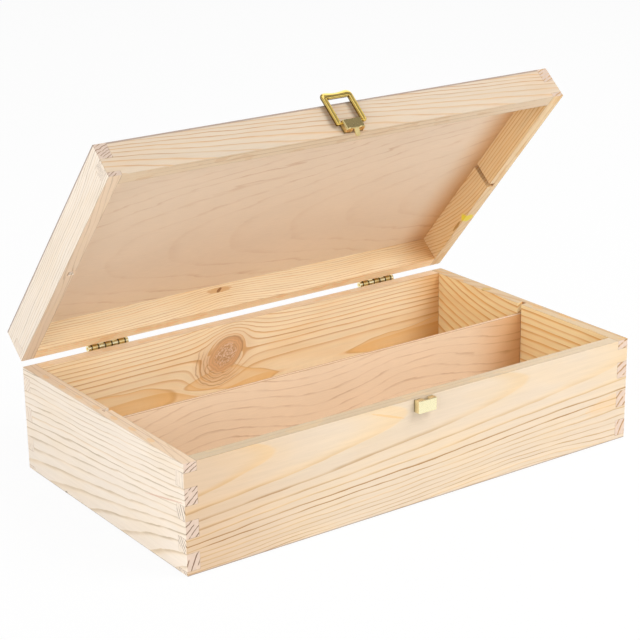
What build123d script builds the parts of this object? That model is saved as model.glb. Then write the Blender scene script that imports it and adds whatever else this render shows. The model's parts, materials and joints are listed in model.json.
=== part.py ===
"""Pine wine box for two bottles, with a lift-out divider and its lid standing open.

Millimetres, +Z up, the long side along X, the front towards -Y. The origin is the centre of
the underside. The box is glued up whole with finger joints at its corners and then sawn
apart, so the same run of fingers goes on from the base into the lid. Pieces of the lid are
drawn with the lid shut and turned about the hinge pins at the end.
"""
import os
from dataclasses import dataclass
from math import cos, radians, sin, tan

from build123d import *

# Box, outside sizes
box_length = 350.0
box_depth = 200.0
base_height = 71.5
lid_height = 24.0
wall = 9.0
saw_kerf = 2.0  # wood lost between base and lid when the glued box is sawn apart
closing_gap = 0.4  # left between the two rims when the lid is shut
arris = 0.6  # outer edges, taken off at 45 degrees
open_angle = 49.0  # how far the lid stands open

# Finger joints, measured up the corners of the uncut box
first_finger = 3.1  # foot to the lowest finger of the end walls
end_finger = 11.2  # height of an end wall's finger
long_finger = 9.6  # height of a front or rear wall's finger

# Plywood bottom and top, let into rebates from outside
panel_thickness = 5.0
lid_panel_recess = 0.5  # the lid's panel lies this much below its edges; the bottom is flush
rebate_width = 4.5
panel_play = 0.1

# Plywood divider, standing in a groove in each end wall
divider_thickness = 3.0
divider_height = 58.9
divider_seat = 0.2
divider_groove_width = 4.0
divider_groove_depth = 4.5
divider_end_play = 0.6
divider_corner = 1.5
divider_y = 0.0

# Brass butt hinges, their leaves nailed to the rear faces
left_hinge_from_end = 65.5
right_hinge_from_end = 58.5
hinge_length = 30.5
hinge_stand_off = 4.0  # pin centre behind the rear face
knuckle_diameter = 4.4
knuckle_count = 7  # the two end ones are half as wide
knuckle_gap = 0.2
pin_diameter = 2.0
pin_fit = 0.02  # radial, in the leaf that holds the pin
pin_running_fit = 0.05  # radial, in the leaf that turns
pin_proud = 0.4
leaf_thickness = 1.0
leaf_reach = 13.0  # pin centre to the leaf's far edge
leaf_crank_start = 3.8  # pin centre to where the leaf leaves the wood
leaf_crank_end = 1.6
leaf_corner = 1.5

# Brass nails of the hinges
nail_head_diameter = 3.4
nail_head_height = 0.9
nail_head_flat = 2.0  # diameter of the flat on top of the coned head
nail_shank_diameter = 1.5
nail_length = 7.5
nail_point = 1.6
nail_fit = 0.02  # radial
nail_spacing = 20.0

# Pressed brass latch: a keeper on the base, a plate with its swinging frame on the lid
latch_x = -0.5
sheet = 0.7
latch_width = 14.4
keeper_depth = 5.2
keeper_height = 8.1
keeper_drop = 0.4  # rim of the base to the top of the keeper
plate_depth = 4.8
plate_height = 7.4
plate_rise = 0.4  # rim of the lid to the lower end of the plate
bend_radius = 1.0
lobe_width = 4.8
lobe_edge_radius = 0.5
lobe_wood_gap = 0.3
prong_width = 2.6
prong_length = 4.5
prong_fit = 0.05
tongue_width = 3.6
tongue_length = 5.4
tongue_slope = 28.0

# Swinging frame of the latch
frame_width = 22.8
frame_bar = 3.0
frame_thickness = 3.2
frame_reach = 23.3  # pivot to the far edge
frame_window = 19.2  # pivot to the far bar, on the side that lies on the lid
frame_lip = 16.2  # pivot to the lip that hooks under the keeper
frame_lip_land = 0.6
frame_heel = 1.4  # pivot to the near ends of the side bars
frame_corner = 3.4
frame_inner_corner = 0.9
frame_edge_round = 1.0  # on the side away from the lid
frame_groove_width = 0.8
frame_groove_depth = 0.5
pivot_height = 3.0  # above the wood
pivot_below_top = 1.2  # below the upper end of the plate
stub_diameter = 1.4
stub_fit = 0.05  # radial
stub_inside = 0.4  # reach of a stub past the plate's side wall

# Places worked out from the sizes above
half_length = box_length / 2
half_depth = box_depth / 2
inner_length = box_length - 2 * wall
inner_depth = box_depth - 2 * wall
panel_length = inner_length + 2 * (rebate_width - panel_play)
panel_depth = inner_depth + 2 * (rebate_width - panel_play)
lid_rim = base_height + closing_gap
lid_top = lid_rim + lid_height
left_hinge_x = left_hinge_from_end - half_length
right_hinge_x = half_length - right_hinge_from_end
hinge_y = half_depth + hinge_stand_off
hinge_z = base_height + closing_gap / 2
lid_axis = Axis((0, hinge_y, hinge_z), (1, 0, 0))
leaf_middle = (leaf_reach + leaf_crank_start) / 2
keeper_top = base_height - keeper_drop
keeper_foot = keeper_top - keeper_height
plate_foot = lid_rim + plate_rise
plate_top = plate_foot + plate_height
pivot_y = -half_depth - pivot_height
pivot_z = plate_top - pivot_below_top
lid_panel_top = lid_top - lid_panel_recess
lid_cut = base_height + saw_kerf
near = 0.01  # picks edges by place


@dataclass
class Half:
    """One of the two parts that the glued box is sawn into."""

    low: float  # lower end in the uncut box
    high: float  # upper end in the uncut box
    shift: float  # how far it stands from its place in the uncut box
    outer_z: float  # end with the plywood panel
    rim_z: float  # sawn end
    panel_face: float  # inner face of the panel


base = Half(
    low=0,
    high=base_height,
    shift=0,
    outer_z=0,
    rim_z=base_height,
    panel_face=panel_thickness,
)
lid = Half(
    low=lid_cut,
    high=lid_cut + lid_height,
    shift=lid_rim - lid_cut,
    outer_z=lid_top,
    rim_z=lid_rim,
    panel_face=lid_panel_top - panel_thickness,
)


def finger_spans(half):
    """Lower and upper ends of the end walls' fingers in one half of the box."""
    spans = []
    bottom = first_finger
    while bottom < half.high:
        top = bottom + end_finger
        if top > half.low:
            spans.append((max(bottom, half.low) + half.shift, min(top, half.high) + half.shift))
        bottom = top + long_finger
    return spans


def finger_places(half, across):
    """Centre and height of each finger at the two corners of a wall, across from its middle."""
    places = []
    for bottom, top in finger_spans(half):
        for x in (-across, across):
            places.append(((x, (bottom + top) / 2), top - bottom))
    return places


def outer_arrises(piece, outer_z):
    """Edges that a hand meets outside: the corners' uprights and the outline at outer_z."""

    def is_outside(edge):
        middle = edge @ 0.5
        at_end = abs(abs(middle.X) - half_length) < near
        at_face = abs(abs(middle.Y) - half_depth) < near
        return (at_end and at_face) or (abs(middle.Z - outer_z) < near and (at_end or at_face))

    return piece.edges().filter_by(is_outside)


def cut_rebate(half):
    """Take the seat of the half's plywood panel out of a wall, open to the outside."""
    with BuildSketch(Plane.XY.offset(half.panel_face)) as seat:
        Rectangle(panel_length + 2 * panel_play, panel_depth + 2 * panel_play)
    extrude(seat.sketch, amount=half.outer_z - half.panel_face, mode=Mode.SUBTRACT)


def long_wall(half, side, bores):
    """Front (side -1) or rear (side 1) wall of a half, with holes for its metalwork."""
    with BuildPart() as piece:
        with BuildSketch(Plane.XZ.offset(-side * half_depth)):
            with Locations((0, (half.outer_z + half.rim_z) / 2)):
                Rectangle(box_length, half.high - half.low)
            for place, height in finger_places(half, half_length - wall / 2):
                with Locations(place):
                    Rectangle(wall, height, mode=Mode.SUBTRACT)
        extrude(amount=side * wall)
        cut_rebate(half)
        chamfer(outer_arrises(piece, half.outer_z), arris)
        add(bores, mode=Mode.SUBTRACT)
    return piece.part


def end_wall(half, side):
    """Left (side -1) or right (side 1) wall with its fingers and the divider's groove."""
    with BuildPart() as piece:
        with BuildSketch(Plane.YZ.offset(side * half_length)):
            with Locations((0, (half.outer_z + half.rim_z) / 2)):
                Rectangle(inner_depth, half.high - half.low)
            for place, height in finger_places(half, half_depth - wall / 2):
                with Locations(place):
                    Rectangle(wall, height)
        extrude(amount=-side * wall)
        cut_rebate(half)
        with BuildSketch(Plane.YZ.offset(side * (half_length - wall))):
            with Locations((divider_y, (half.panel_face + half.rim_z) / 2)):
                Rectangle(divider_groove_width, abs(half.rim_z - half.panel_face))
        extrude(amount=side * divider_groove_depth, mode=Mode.SUBTRACT)
        chamfer(outer_arrises(piece, half.outer_z), arris)
    return piece.part


def panel(low_z):
    """Plywood bottom or top, its lower face at low_z."""
    with BuildPart() as piece:
        with BuildSketch(Plane.XY.offset(low_z)):
            Rectangle(panel_length, panel_depth)
        extrude(amount=panel_thickness)
    return piece.part


def nail_places(hinge_x, up):
    """Where the nails of one leaf stand: X and Z of each."""
    height = hinge_z + up * leaf_middle
    return [(hinge_x - nail_spacing / 2, height), (hinge_x + nail_spacing / 2, height)]


def nail_bores(up):
    """Round holes for the nails of both hinges in the base (up -1) or the lid (up 1)."""
    with BuildPart() as bores:
        with BuildSketch(Plane.XZ.offset(-half_depth)):
            for hinge_x in (left_hinge_x, right_hinge_x):
                with Locations(*nail_places(hinge_x, up)):
                    Circle(nail_shank_diameter / 2 + nail_fit)
        extrude(amount=nail_length + nail_fit - leaf_thickness)
    return bores.part


def prong_slots(middle_z):
    """Slots in the wood for the two prongs of a latch part centred at middle_z."""
    reach = (latch_width - sheet) / 2
    with BuildPart() as slots:
        with BuildSketch(Plane.XZ.offset(half_depth)):
            with Locations((latch_x - reach, middle_z), (latch_x + reach, middle_z)):
                Rectangle(sheet + 2 * prong_fit, prong_width + 2 * prong_fit)
        extrude(amount=-prong_length - prong_fit)
    return slots.part


def knuckle_spans():
    """Start and end of each knuckle along the hinge, the two end ones half as wide."""
    unit = hinge_length / (knuckle_count - 1)
    spans = []
    start = 0.0
    for number in range(knuckle_count):
        at_end = number in (0, knuckle_count - 1)
        end = start + (unit / 2 if at_end else unit)
        first = start if number == 0 else start + knuckle_gap / 2
        last = end if number == knuckle_count - 1 else end - knuckle_gap / 2
        spans.append((first, last))
        start = end
    return spans


def hinge_leaf(hinge_x, up):
    """Leaf on the base (up -1, outer knuckles) or on the lid (up 1, knuckles between)."""
    own = knuckle_spans()[1::2] if up > 0 else knuckle_spans()[0::2]
    bore = pin_diameter / 2 + (pin_running_fit if up > 0 else pin_fit)
    step = hinge_stand_off - knuckle_diameter / 2
    strap = [
        (0, leaf_crank_start),
        (leaf_thickness, leaf_crank_start),
        (step + leaf_thickness, leaf_crank_end),
        (step + leaf_thickness, 0),
        (step, 0),
        (step, leaf_crank_end),
    ]
    corners = [(half_depth + across, hinge_z + up * along) for across, along in strap]
    with BuildPart() as piece:
        with BuildSketch(Plane.XZ.offset(-half_depth)):
            with Locations((hinge_x, hinge_z + up * leaf_middle)):
                Rectangle(hinge_length, leaf_reach - leaf_crank_start)
            with Locations(*nail_places(hinge_x, up)):
                Circle(nail_shank_diameter / 2 + nail_fit, mode=Mode.SUBTRACT)
        extrude(amount=-leaf_thickness)
        far_z = hinge_z + up * leaf_reach
        far_corners = piece.edges().filter_by(Axis.Y).filter_by(lambda e: abs((e @ 0.5).Z - far_z) < near)
        fillet(far_corners, leaf_corner)
        for start, end in own:
            with BuildSketch(Plane.YZ.offset(hinge_x - hinge_length / 2 + start)):
                Polygon(*corners, align=None)
                with Locations((hinge_y, hinge_z)):
                    Circle(knuckle_diameter / 2)
                    Circle(bore, mode=Mode.SUBTRACT)
            extrude(amount=end - start)
    return piece.part


def hinge_pin(hinge_x):
    """Plain pin, a little proud of the end knuckles and chamfered."""
    length = hinge_length + 2 * pin_proud
    with BuildPart() as piece:
        with BuildSketch(Plane.YZ.offset(hinge_x - length / 2)):
            with Locations((hinge_y, hinge_z)):
                Circle(pin_diameter / 2)
        extrude(amount=length)
        chamfer(piece.edges().filter_by(GeomType.CIRCLE), pin_proud / 2)
    return piece.part


def hinge_nails(hinge_x, up):
    """The nails of one leaf: low coned heads on the leaf, shanks in the wood."""
    head = nail_head_diameter / 2
    shank = nail_shank_diameter / 2
    seat = half_depth + leaf_thickness
    tip = seat - nail_length
    with BuildPart() as piece:
        for x, z in nail_places(hinge_x, up):
            outline = [
                (x, tip),
                (x + shank, tip + nail_point),
                (x + shank, seat),
                (x + head, seat),
                (x + nail_head_flat / 2, seat + nail_head_height),
                (x, seat + nail_head_height),
            ]
            with BuildSketch(Plane.XY.offset(z)):
                Polygon(*outline, align=None)
            revolve(axis=Axis((x, 0, z), (0, 1, 0)))
    return piece.part


def pressed_box(lobed_z, open_z, depth):
    """Brass sheet folded to a shallow box against the front face, as both latch parts are.

    Front and sides are one strip with round bends. At lobed_z two rounded tabs turn in
    towards the wood with a notch between them, and a prong of each side goes into the wood.
    """
    up = 1 if lobed_z > open_z else -1
    front_y = -half_depth - depth
    inner_width = latch_width - 2 * sheet
    lobe_reach = depth - lobe_wood_gap
    lobe_x = (latch_width - lobe_width) / 2 - bend_radius / 2
    with BuildPart() as piece:
        with BuildSketch(Plane.XY.offset(min(lobed_z, open_z))) as strip:
            with Locations((latch_x, -half_depth - depth / 2)):
                Rectangle(latch_width, depth)
            with Locations((latch_x, -half_depth - (depth - sheet) / 2)):
                Rectangle(inner_width, depth - sheet, mode=Mode.SUBTRACT)
            fillet(strip.vertices().filter_by(lambda v: abs(v.Y - front_y) < near), bend_radius)
            inner_y = front_y + sheet
            inner_corners = strip.vertices().filter_by(lambda v: abs(v.Y - inner_y) < near)
            fillet(inner_corners, bend_radius - sheet)
        extrude(amount=abs(lobed_z - open_z))
        with BuildSketch(Plane.XY.offset(lobed_z)):
            round_y = front_y + lobe_reach - lobe_width / 2
            for across in (-lobe_x, lobe_x):
                with Locations((latch_x + across, (front_y + sheet / 2 + round_y) / 2)):
                    Rectangle(lobe_width, round_y - front_y - sheet / 2)
                with Locations((latch_x + across, round_y)):
                    Circle(lobe_width / 2)
        extrude(amount=-up * sheet)
        bend = piece.edges().filter_by(Axis.X).filter_by(
            lambda e: abs((e @ 0.5).Y - front_y) < near and abs((e @ 0.5).Z - lobed_z) < near
        )
        fillet(bend, lobe_edge_radius)
        middle_z = (lobed_z + open_z) / 2
        half = prong_width / 2
        for edge_x in (latch_x - latch_width / 2, latch_x + latch_width / 2 - sheet):
            with BuildSketch(Plane.YZ.offset(edge_x)):
                Polygon(
                    (-half_depth, middle_z - half),
                    (-half_depth + prong_length, middle_z),
                    (-half_depth, middle_z + half),
                    align=None,
                )
            extrude(amount=sheet)
    return piece.part


def latch_plate():
    """Upper part of the latch: pivot holes in its sides and a tongue that finds the keeper."""
    front_y = -half_depth - plate_depth
    across = sin(radians(tongue_slope))
    along = cos(radians(tongue_slope))
    root = plate_foot + sheet * tan(radians(tongue_slope / 2))
    tip_y = front_y + tongue_length * across
    tip_z = plate_foot - tongue_length * along
    tongue = [
        (front_y, root),
        (front_y, plate_foot),
        (tip_y, tip_z),
        (tip_y + sheet * along, tip_z + sheet * across),
        (front_y + sheet, root),
    ]
    tip_middle = Vector(0, tip_y + sheet * along / 2, tip_z + sheet * across / 2)
    with BuildPart() as piece:
        add(pressed_box(plate_foot, plate_top, plate_depth))
        with BuildSketch(Plane.YZ.offset(latch_x - tongue_width / 2)):
            Polygon(*tongue, align=None)
        extrude(amount=tongue_width)

        def at_tip(edge):
            middle = edge @ 0.5
            return abs(middle.Y - tip_middle.Y) < near and abs(middle.Z - tip_middle.Z) < near

        fillet(piece.edges().filter_by(Axis.X, reverse=True).filter_by(at_tip), tongue_width / 2 - near)
        with BuildSketch(Plane.YZ.offset(latch_x - latch_width)):
            with Locations((pivot_y, pivot_z)):
                Circle(stub_diameter / 2 + stub_fit)
        extrude(amount=2 * latch_width, mode=Mode.SUBTRACT)
    return piece.part


def latch_frame():
    """Swinging frame: two side bars, a far bar with its hooking lip, and two pivot stubs."""
    back_y = pivot_y + frame_thickness / 2
    face_y = pivot_y - frame_thickness / 2
    window_width = frame_width - 2 * frame_bar
    stub_length = (window_width - latch_width) / 2 + sheet + stub_inside
    with BuildPart() as piece:
        with BuildSketch(Plane.XZ.offset(-back_y)) as outline:
            with Locations((latch_x, pivot_z + (frame_reach - frame_heel) / 2)):
                Rectangle(frame_width, frame_reach + frame_heel)
            fillet(outline.vertices().group_by(Axis.Y)[-1], frame_corner)
        extrude(amount=frame_thickness)
        fillet(piece.edges().filter_by(lambda e: abs((e @ 0.5).Y - face_y) < near), frame_edge_round)
        with BuildSketch(Plane.XZ.offset(-back_y + frame_thickness)) as window:
            with Locations((latch_x, pivot_z + (frame_window - 2 * frame_heel) / 2)):
                Rectangle(window_width, frame_window + 2 * frame_heel)
            fillet(window.vertices().group_by(Axis.Y)[-1], frame_inner_corner)
        extrude(amount=-frame_thickness, mode=Mode.SUBTRACT)
        with BuildSketch(Plane.YZ.offset(latch_x - window_width / 2 - near)):
            Polygon(
                (back_y, pivot_z + frame_window + frame_inner_corner),
                (back_y, pivot_z + frame_window),
                (face_y + frame_lip_land, pivot_z + frame_lip),
                (face_y, pivot_z + frame_lip),
                (face_y, pivot_z + frame_window + frame_inner_corner),
                align=None,
            )
        extrude(amount=window_width + 2 * near)
        bar_x = (frame_width - frame_bar) / 2
        groove_top = frame_reach - frame_corner
        with BuildSketch(Plane.XZ.offset(-face_y)):
            for across in (-bar_x, bar_x):
                with Locations((latch_x + across, pivot_z + groove_top / 2)):
                    SlotOverall(groove_top, frame_groove_width, rotation=90)
        extrude(amount=-frame_groove_depth, mode=Mode.SUBTRACT)
        for side in (-1, 1):
            with BuildSketch(Plane.YZ.offset(latch_x + side * window_width / 2)):
                with Locations((pivot_y, pivot_z)):
                    Circle(stub_diameter / 2)
            extrude(amount=-side * stub_length)
    return piece.part


def divider_board():
    """Plywood divider, its upper corners eased."""
    length = inner_length + 2 * (divider_groove_depth - divider_end_play)
    with BuildPart() as piece:
        with BuildSketch(Plane.XZ.offset(-divider_y - divider_thickness / 2)) as face:
            with Locations((0, panel_thickness + divider_seat + divider_height / 2)):
                Rectangle(length, divider_height)
            fillet(face.vertices().group_by(Axis.Y)[-1], divider_corner)
        extrude(amount=divider_thickness)
    return piece.part


def save(piece, label, on_lid=False):
    """Turn a piece of the lid to where the lid stands, label it and write its STEP file."""
    placed = piece.rotate(lid_axis, -open_angle) if on_lid else piece
    placed.label = label
    export_step(placed, f"parts/{label}.step")


os.makedirs("parts", exist_ok=True)

# Base
save(long_wall(base, -1, prong_slots((keeper_top + keeper_foot) / 2)), "base_front_wall")
save(long_wall(base, 1, nail_bores(-1)), "base_rear_wall")
save(end_wall(base, -1), "base_left_wall")
save(end_wall(base, 1), "base_right_wall")
save(panel(0), "base_bottom_panel")
save(pressed_box(keeper_top, keeper_foot, keeper_depth), "keeper")
save(divider_board(), "divider")

# Lid
front_slots = prong_slots((plate_top + plate_foot) / 2)
save(long_wall(lid, -1, front_slots), "lid_front_rail", on_lid=True)
save(long_wall(lid, 1, nail_bores(1)), "lid_rear_rail", on_lid=True)
save(end_wall(lid, -1), "lid_left_rail", on_lid=True)
save(end_wall(lid, 1), "lid_right_rail", on_lid=True)
save(panel(lid.panel_face), "lid_top_panel", on_lid=True)
save(latch_plate(), "latch_plate", on_lid=True)
save(latch_frame(), "latch_frame", on_lid=True)

# Hinges
for name, hinge_x in (("left", left_hinge_x), ("right", right_hinge_x)):
    save(hinge_leaf(hinge_x, -1), f"{name}_hinge_base_leaf")
    save(hinge_leaf(hinge_x, 1), f"{name}_hinge_lid_leaf", on_lid=True)
    save(hinge_pin(hinge_x), f"{name}_hinge_pin")
    save(hinge_nails(hinge_x, -1), f"{name}_hinge_base_nails")
    save(hinge_nails(hinge_x, 1), f"{name}_hinge_lid_nails", on_lid=True)
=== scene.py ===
"""Finishes the pine wine box in Blender: boards, plywood, brass, and the studio round it.

Boards are coloured by where they were in the box before it was sawn open, in millimetres, so
the grain of the base runs on into the lid. Every pattern is worked out in those places.
"""

import json
from functools import partial, partialmethod
from math import cos, pi, radians, sin
from types import SimpleNamespace

import bmesh
import bpy
import numpy as np
from bpy.props import FloatProperty, FloatVectorProperty, PointerProperty
from mathutils import Matrix, Vector


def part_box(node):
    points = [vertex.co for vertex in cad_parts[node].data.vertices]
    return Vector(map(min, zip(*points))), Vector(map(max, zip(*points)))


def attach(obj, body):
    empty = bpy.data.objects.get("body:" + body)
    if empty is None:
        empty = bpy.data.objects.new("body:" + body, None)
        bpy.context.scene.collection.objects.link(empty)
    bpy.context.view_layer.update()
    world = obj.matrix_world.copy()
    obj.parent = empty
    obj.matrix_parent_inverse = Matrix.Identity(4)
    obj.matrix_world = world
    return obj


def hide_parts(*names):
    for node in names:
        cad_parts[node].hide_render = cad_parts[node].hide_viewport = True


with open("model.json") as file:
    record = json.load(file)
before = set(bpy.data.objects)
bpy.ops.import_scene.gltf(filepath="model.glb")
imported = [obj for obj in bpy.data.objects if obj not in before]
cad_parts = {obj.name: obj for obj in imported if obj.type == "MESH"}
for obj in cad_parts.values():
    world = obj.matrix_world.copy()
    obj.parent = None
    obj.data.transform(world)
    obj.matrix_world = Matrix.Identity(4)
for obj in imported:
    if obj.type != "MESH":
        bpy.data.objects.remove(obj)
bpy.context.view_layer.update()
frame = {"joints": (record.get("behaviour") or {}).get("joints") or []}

bl_info = {
    "name": "Wine Box",
    "version": (1, 0, 0),
    "blender": (4, 5, 0),
    "location": "3D View > Sidebar > Wine Box",
    "description": "Finishes a finger-jointed pine box with brass hinges and latch",
    "category": "Object",
}

MM = 0.001


def box_mm(node):
    """Lowest and highest corner of a node of the frame, in millimetres."""
    return [[float(value) / MM for value in corner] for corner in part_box(node)]


FRONT_LOW, FRONT_HIGH = box_mm("base_front_wall")
HALF_LENGTH = FRONT_HIGH[0]
HALF_DEPTH = box_mm("base_left_wall")[1][1]
WALL = FRONT_HIGH[1] - FRONT_LOW[1]
INNER_HALF_LENGTH = HALF_LENGTH - WALL
INNER_HALF_DEPTH = HALF_DEPTH - WALL
BASE_HEIGHT = FRONT_HIGH[2]
DIVIDER_LOW, DIVIDER_HIGH = box_mm("divider")
DIVIDER_MIDDLE = (DIVIDER_LOW[1] + DIVIDER_HIGH[1]) / 2
JOINTS = {joint["name"]: joint for joint in frame["joints"]}
LID_PIN = Vector(JOINTS["lid_hinge"]["pos_m"]) / MM
LID_OPEN = -radians(JOINTS["lid_hinge"]["range_deg"][0])
SHUT_LID = Matrix.Rotation(LID_OPEN, 3, "X")
LATCH_PIN = SHUT_LID @ (Vector(JOINTS["latch_pivot"]["pos_m"]) / MM - LID_PIN) + LID_PIN

KERF = 2.0  # wood lost when the glued box was sawn into base and lid
LID_RIM = BASE_HEIGHT + KERF
UNCUT_HEIGHT = 97.5  # the box before it was sawn open
KERF_LIFT = 1.6  # shut, the lid stands this much lower than in the uncut box
FIRST_FINGER = 3.1
END_FINGER = 11.2
LONG_FINGER = 9.6
SEAM = 0.3  # half the width of a glue line
GROOVE_HALF, GROOVE_DEEP = 1.9, 5.0  # the divider's groove in the ends
KNUCKLES = 6  # lengths of a knuckle in a hinge


# ---- Settings


def swatch(name, default, description):
    """A colour property; colours are written as linear red, green and blue."""
    return FloatVectorProperty(
        name=name, description=description, default=default, subtype="COLOR", min=0, max=1
    )


def number(name, default, description, **kind):
    return FloatProperty(name=name, description=description, default=default, **kind)


length = partial(number, unit="LENGTH")
angle = partial(number, subtype="ANGLE")
power = partial(number, unit="POWER")


class WINEBOX_WoodSettings(bpy.types.PropertyGroup):
    """Colours of the pine boards and the plywood."""

    early: swatch("Early wood", (0.72, 0.59, 0.447), "Pale wood between the rings")
    late: swatch("Late wood", (0.76, 0.47, 0.21), "Orange wood at the end of a ring")
    line: swatch("Ring line", (0.44, 0.25, 0.11), "Thin dark line that ends a ring")
    end_grain: swatch("End grain", (0.69, 0.54, 0.44), "Ends of the fingers")
    end_pale: swatch("Pale end grain", (0.85, 0.74, 0.62), "Ends of the long boards")
    end_ring: swatch("End grain ring", (0.22, 0.13, 0.08), "Rings at a finger's end")
    knot: swatch("Knot", (0.66, 0.39, 0.20), "Wood of the knot")
    glue: swatch("Glue line", (0.34, 0.22, 0.13), "Seams of the finger joints")
    plywood: swatch("Plywood", (0.89, 0.735, 0.575), "Face of the top and the bottom")
    thin_plywood: swatch("Thin plywood", (0.88, 0.68, 0.49), "Face of the divider")
    plywood_figure: swatch("Plywood figure", (0.60, 0.37, 0.22), "Lines in the plywood")


class WINEBOX_BrassSettings(bpy.types.PropertyGroup):
    """Finish of the hinges and the latch."""

    bright: swatch("Brass", (0.90, 0.72, 0.34), "Clean pressed brass")
    gold: swatch("Gold brass", (0.84, 0.61, 0.17), "Lacquered brass of the latch's frame")
    pale: swatch("Pale brass", (0.98, 0.90, 0.58), "Keeper, and the base's hinge leaves")
    tarnish: swatch("Tarnish", (0.42, 0.30, 0.10), "Dull film on the brass")
    # mostly painted shade: knuckle gaps, sheet beside the wood, the plate's face, the latch
    # frame's flanks; also soil in its groove
    shade_and_soil: swatch("Soil", (0.07, 0.045, 0.02), "Dark film where polish doesn't reach")
    roughness: number("Roughness", 0.24, "Roughness of clean brass", min=0, max=1)


class WINEBOX_LatchSettings(bpy.types.PropertyGroup):
    """Sizes of the latch's swinging frame."""

    width: length("Width", 0.0233, "Across both side bars")
    reach: length("Reach", 0.0242, "From the pivot to the far edge")
    heel: length("Heel", 0.0014, "From the pivot to the near ends of the side bars")
    bar: length("Side bar", 0.0035, "Width of a side bar")
    far_bar: length("Far bar", 0.0053, "Width of the far bar")
    thickness: length("Thickness", 0.0032, "Thickness of the bars")
    bend: length("Bend", 0.0024, "Radius of the bar's middle line at a corner")
    groove: length("Groove", 0.0009, "Depth of the groove in the outer face")
    waist: length("Waist", 0.0010, "How far the middle of the far bar draws in")
    knob: length("Knob", 0.0003, "How far the corners stand out")
    lip: length("Lip", 0.0016, "How far the outer face of the far bar leans in")
    pin: length("Pin", 0.0014, "Diameter of the pivot pins")
    pin_length: length("Pin length", 0.0029, "Length of the pivot pins")


class WINEBOX_StageSettings(bpy.types.PropertyGroup):
    """Camera and light."""

    azimuth: angle("Azimuth", radians(-35.198), "Direction of the camera round the box")
    elevation: angle("Elevation", radians(19.025), "Height of the camera as an angle")
    roll: angle("Roll", radians(-0.820), "Turn of the camera about its line of sight")
    distance: length("Distance", 1.244569, "From the camera to the middle of the box")
    lens: number("Lens", 105.46, "Focal length on a 36 mm sensor", unit="CAMERA")
    sky: number("Sky", 1.1, "Strength of the light from all round", min=0)
    key: power("Key light", 11.6, "Power of the light on the left")
    fill: power("Fill light", 18.5, "Power of the light in front")
    high: power("High light", 6.5, "Power of the light above")
    rear: power("Rear light", 5.0, "Power of the light behind")


# ---- Shader nodes


class Signal:
    """A value that varies over a surface; arithmetic with it adds Math nodes."""

    def __init__(self, tree, socket):
        self.tree = tree
        self.socket = socket

    def math(self, operation, *others):
        return self.tree.math(operation, self, *others)

    __add__ = __radd__ = partialmethod(math, "ADD")
    __sub__ = partialmethod(math, "SUBTRACT")
    __mul__ = __rmul__ = partialmethod(math, "MULTIPLY")
    __truediv__ = partialmethod(math, "DIVIDE")
    __neg__ = partialmethod(math, "MULTIPLY", -1)
    __abs__ = partialmethod(math, "ABSOLUTE")
    root = partialmethod(math, "SQRT")
    at_least = partialmethod(math, "MAXIMUM")
    at_most = partialmethod(math, "MINIMUM")

    def __rsub__(self, other):
        return self.tree.math("SUBTRACT", other, self)

    def squared(self):
        return self * self

    def ramp(self, low, high, to_low=0, to_high=1):
        """Smooth step from low to high."""
        inputs = {"Value": self, "From Min": low, "From Max": high}
        inputs.update({"To Min": to_low, "To Max": to_high})
        return self.tree.value("ShaderNodeMapRange", inputs, interpolation_type="SMOOTHSTEP")

    def above(self, edge, blur=0.05):
        """1 where the value is over the edge, 0 under it, blurred by so much each side."""
        return self.ramp(edge - blur, edge + blur)

    def below(self, edge, blur=0.05):
        return self.ramp(edge + blur, edge - blur)

    def near(self, place, reach):
        """1 at the place, falling to 0 at the reach from it."""
        return abs(self - place).ramp(reach, 0)


def spaced(key):
    """Name of a socket; keywords write its spaces as underscores."""
    return key.replace("_", " ")


class Tree:
    """Adds and links the nodes of one shader tree."""

    def __init__(self, tree):
        self.tree = tree

    def add(self, kind, inputs=None, **settings):
        node = self.tree.nodes.new(kind)
        for name, value in settings.items():
            setattr(node, name, value)
        for key, value in (inputs or {}).items():
            self.put(node.inputs[key], value)
        return node

    def put(self, socket, value):
        if isinstance(value, Signal):
            value = value.socket
        if isinstance(value, bpy.types.NodeSocket):
            self.tree.links.new(value, socket)
        elif socket.type == "RGBA" and len(value) == 3:
            socket.default_value = (*value, 1)
        else:
            socket.default_value = value

    def signal(self, node, output=0):
        return Signal(self, node.outputs[output])

    def value(self, kind, inputs=None, **settings):
        """The first output of a new node."""
        return self.signal(self.add(kind, inputs, **settings))

    def math(self, operation, *values):
        return self.value("ShaderNodeMath", dict(enumerate(values)), operation=operation)

    def split(self, vector):
        """The three numbers of a vector."""
        node = self.add("ShaderNodeSeparateXYZ", {0: vector})
        return [self.signal(node, index) for index in range(3)]

    def join(self, x, y, z):
        return self.value("ShaderNodeCombineXYZ", {0: x, 1: y, 2: z})

    def noise(self, vector, detail=2, roughness=0.5):
        """Perlin noise about 0.5, one feature per unit of the vector."""
        inputs = {"Vector": vector, "Scale": 1.0, "Detail": detail, "Roughness": roughness}
        return self.value("ShaderNodeTexNoise", inputs)

    def dice(self, value):
        """A fixed random number from 0 to 1 for each value."""
        return self.value("ShaderNodeTexWhiteNoise", {"W": value}, noise_dimensions="1D")

    def mix(self, factor, first, second, blend="MIX"):
        """Mixed colours."""
        inputs = {0: factor, 6: first, 7: second}
        node = self.add("ShaderNodeMix", inputs, data_type="RGBA", blend_type=blend)
        return self.signal(node, 2)

    def shade(self, colour, value):
        """Colour made lighter or darker by a factor."""
        inputs = {0: colour, "Scale": value}
        return self.value("ShaderNodeVectorMath", inputs, operation="SCALE")

    def group(self, name, **inputs):
        """Places a node group and gives back its outputs."""
        node = self.add("ShaderNodeGroup", node_tree=bpy.data.node_groups[name])
        for key, value in inputs.items():
            self.put(node.inputs[spaced(key)], value)
        return [Signal(self, output) for output in node.outputs]


SOCKETS = {1: "NodeSocketFloat", 3: "NodeSocketVector", 4: "NodeSocketColor"}


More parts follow.
